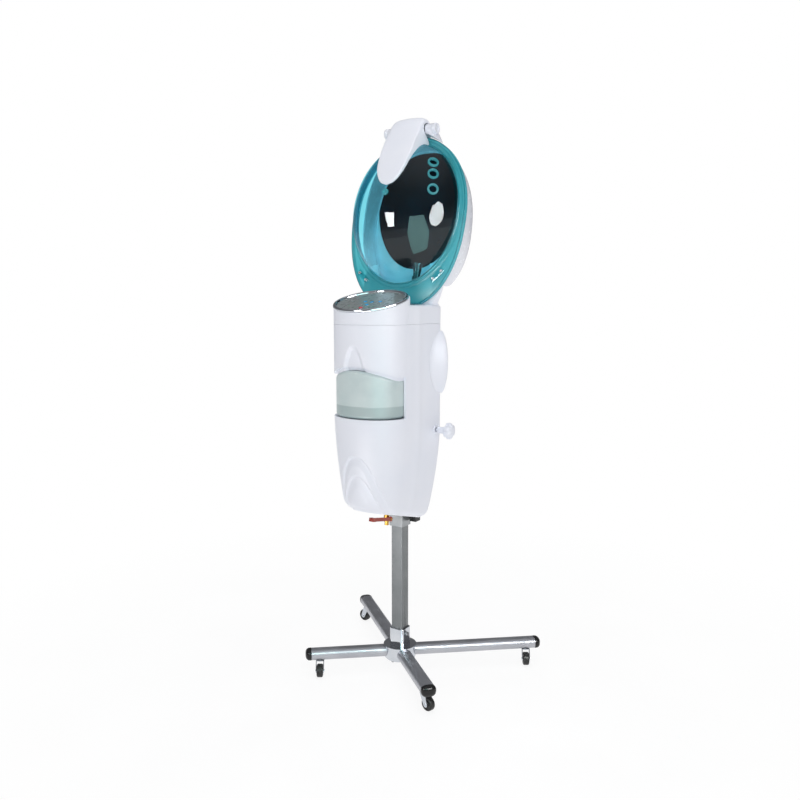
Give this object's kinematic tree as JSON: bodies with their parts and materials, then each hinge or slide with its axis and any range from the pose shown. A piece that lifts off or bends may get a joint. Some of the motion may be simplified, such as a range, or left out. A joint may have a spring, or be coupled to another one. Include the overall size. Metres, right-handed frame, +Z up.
{
  "type": "hooded salon steamer",
  "caption": "Wheeled salon hair and scalp steamer with a height-adjustable water and control unit and a tinted hood that opens at a top hinge.",
  "frame": {"origin": "on the axis of the post at floor level, under the centre of the leg hub", "axes": "+Z up; -Y towards the control panel and tank side; +X to the right seen from the control side"},
  "size_m": [0.6452, 0.4979, 1.55],
  "materials": {
    "chrome_plate": "satin chrome plate",
    "steel": "bright zinc or stainless",
    "post_steel": "satin grey metallic",
    "black_plastic": "moulded, slightly shiny",
    "caster_rubber": "moulded nylon and rubber",
    "white_plastic": "glossy white moulding",
    "panel_grey": "glossy dark grey panel",
    "button_red": "gloss",
    "button_blue": "gloss, lit from behind",
    "led_green": "lit lens",
    "board_green": "circuit board",
    "tank_clear": "frosted clear plastic",
    "tray_grey": "moulded",
    "element_steel": "oxidised sheath",
    "transformer_iron": "varnished laminations",
    "brass": "turned brass",
    "lever_red": "dip-coated red",
    "teal_clear": "tinted clear polycarbonate",
    "liner_dark": "dark tinted inner shell",
    "hose_silicone": "silicone hose"
  },
  "bodies": {
    "stand": {"hub_body": "chrome_plate", "hub_bottom_plate": "chrome_plate", "post_socket": "chrome_plate", "hub_screws": "steel", "socket_bolt": "steel", "post": "post_steel", "post_cap": "black_plastic", "front_leg_left": "chrome_plate", "front_leg_right": "chrome_plate", "rear_leg_left": "chrome_plate", "rear_leg_right": "chrome_plate", "leg_end_caps": "black_plastic"},
    "caster_front_left": {"caster_fork_front_left": "chrome_plate"},
    "wheel_front_left": {"caster_wheel_front_left": "caster_rubber"},
    "caster_front_right": {"caster_fork_front_right": "chrome_plate"},
    "wheel_front_right": {"caster_wheel_front_right": "caster_rubber"},
    "caster_rear_left": {"caster_fork_rear_left": "chrome_plate"},
    "wheel_rear_left": {"caster_wheel_rear_left": "caster_rubber"},
    "caster_rear_right": {"caster_fork_rear_right": "chrome_plate"},
    "wheel_rear_right": {"caster_wheel_rear_right": "caster_rubber"},
    "carriage": {"slide_sleeve": "steel", "sleeve_bushes": "black_plastic", "front_housing": "white_plastic", "rear_cover": "white_plastic", "base_plate": "white_plastic", "top_housing": "white_plastic", "panel_bezel": "chrome_plate", "control_panel": "panel_grey", "indicator_leds": "led_green", "circuit_board": "board_green", "tank_tray": "tray_grey", "boiler": "steel", "heating_element": "element_steel", "transformer": "transformer_iron", "drain_spout": "brass", "power_inlet": "black_plastic", "side_ear_left": "white_plastic", "side_ear_right": "white_plastic", "housing_screws": "steel", "hood_neck": "white_plastic", "hood_dome": "teal_clear", "dome_fixing_plates": "teal_clear", "dome_screws": "steel", "hinge_bracket": "white_plastic", "steam_hose": "hose_silicone", "steam_nozzle": "black_plastic"},
    "knob": {"height_knob": "white_plastic"},
    "tank": {"water_tank": "tank_clear"},
    "drain_valve_lever": {"drain_lever": "lever_red"},
    "power_key": {"power_button": "button_red"},
    "time_up_key": {"time_up_button": "button_blue"},
    "time_down_key": {"time_down_button": "button_blue"},
    "heat_key": {"heat_button": "button_blue"},
    "mist_key": {"mist_button": "button_blue"},
    "hood_cover": {"hood_shell": "white_plastic", "hood_liner": "liner_dark", "hinge_pin": "steel", "pivot_caps": "white_plastic"}
  },
  "joints": [
    {"name": "swivel_front_left", "type": "hinge", "parent": "stand", "child": "caster_front_left", "pos_m": [-0.17439, -0.14842, 0.05], "axis": [0, 0, 1], "continuous": true},
    {"name": "wheel_spin_front_left", "type": "hinge", "parent": "caster_front_left", "child": "wheel_front_left", "pos_m": [-0.16743, -0.1594, 0.0185], "axis": [0.8443, 0.5358, 0], "continuous": true},
    {"name": "swivel_front_right", "type": "hinge", "parent": "stand", "child": "caster_front_right", "pos_m": [0.17439, -0.14842, 0.05], "axis": [0, 0, 1], "continuous": true},
    {"name": "wheel_spin_front_right", "type": "hinge", "parent": "caster_front_right", "child": "wheel_front_right", "pos_m": [0.18693, -0.15187, 0.0185], "axis": [0.2656, 0.9641, 0], "continuous": true},
    {"name": "swivel_rear_left", "type": "hinge", "parent": "stand", "child": "caster_rear_left", "pos_m": [-0.28329, 0.2411, 0.05], "axis": [0, 0, 1], "continuous": true},
    {"name": "wheel_spin_rear_left", "type": "hinge", "parent": "caster_rear_left", "child": "wheel_rear_left", "pos_m": [-0.29624, 0.24232, 0.0185], "axis": [-0.0941, -0.9956, 0], "continuous": true},
    {"name": "swivel_rear_right", "type": "hinge", "parent": "stand", "child": "caster_rear_right", "pos_m": [0.28329, 0.2411, 0.05], "axis": [0, 0, 1], "continuous": true},
    {"name": "wheel_spin_rear_right", "type": "hinge", "parent": "caster_rear_right", "child": "wheel_rear_right", "pos_m": [0.29045, 0.23025, 0.0185], "axis": [0.8348, 0.5505, 0], "continuous": true},
    {"name": "height_slide", "type": "slide", "parent": "stand", "child": "carriage", "axis": [0, 0, 1], "range_m": [-0.15, 0.12]},
    {"name": "height_knob_turn", "type": "hinge", "parent": "carriage", "child": "knob", "pos_m": [0.15, 0.012, 0.712], "axis": [1, 0, 0], "range_deg": [0, 720]},
    {"name": "tank_slide", "type": "slide", "parent": "carriage", "child": "tank", "axis": [0, -1, 0], "range_m": [0, 0.18]},
    {"name": "drain_lever_turn", "type": "hinge", "parent": "carriage", "child": "drain_valve_lever", "pos_m": [0, -0.067, 0.466], "axis": [1, 0, 0], "range_deg": [0, 90]},
    {"name": "hood_cover_hinge", "type": "hinge", "parent": "carriage", "child": "hood_cover", "pos_m": [0, 0.05702, 1.51603], "axis": [1, 0, 0], "range_deg": [0, 75]},
    {"name": "power_press", "type": "slide", "parent": "carriage", "child": "power_key", "axis": [0, 0.314, -0.9494], "range_m": [0, 0.001], "stiffness_N_per_m": 400},
    {"name": "time_up_press", "type": "slide", "parent": "carriage", "child": "time_up_key", "axis": [0, 0.314, -0.9494], "range_m": [0, 0.001], "stiffness_N_per_m": 400},
    {"name": "time_down_press", "type": "slide", "parent": "carriage", "child": "time_down_key", "axis": [0, 0.314, -0.9494], "range_m": [0, 0.001], "stiffness_N_per_m": 400},
    {"name": "heat_press", "type": "slide", "parent": "carriage", "child": "heat_key", "axis": [0, 0.314, -0.9494], "range_m": [0, 0.001], "stiffness_N_per_m": 400},
    {"name": "mist_press", "type": "slide", "parent": "carriage", "child": "mist_key", "axis": [0, 0.314, -0.9494], "range_m": [0, 0.001], "stiffness_N_per_m": 400}
  ]
}
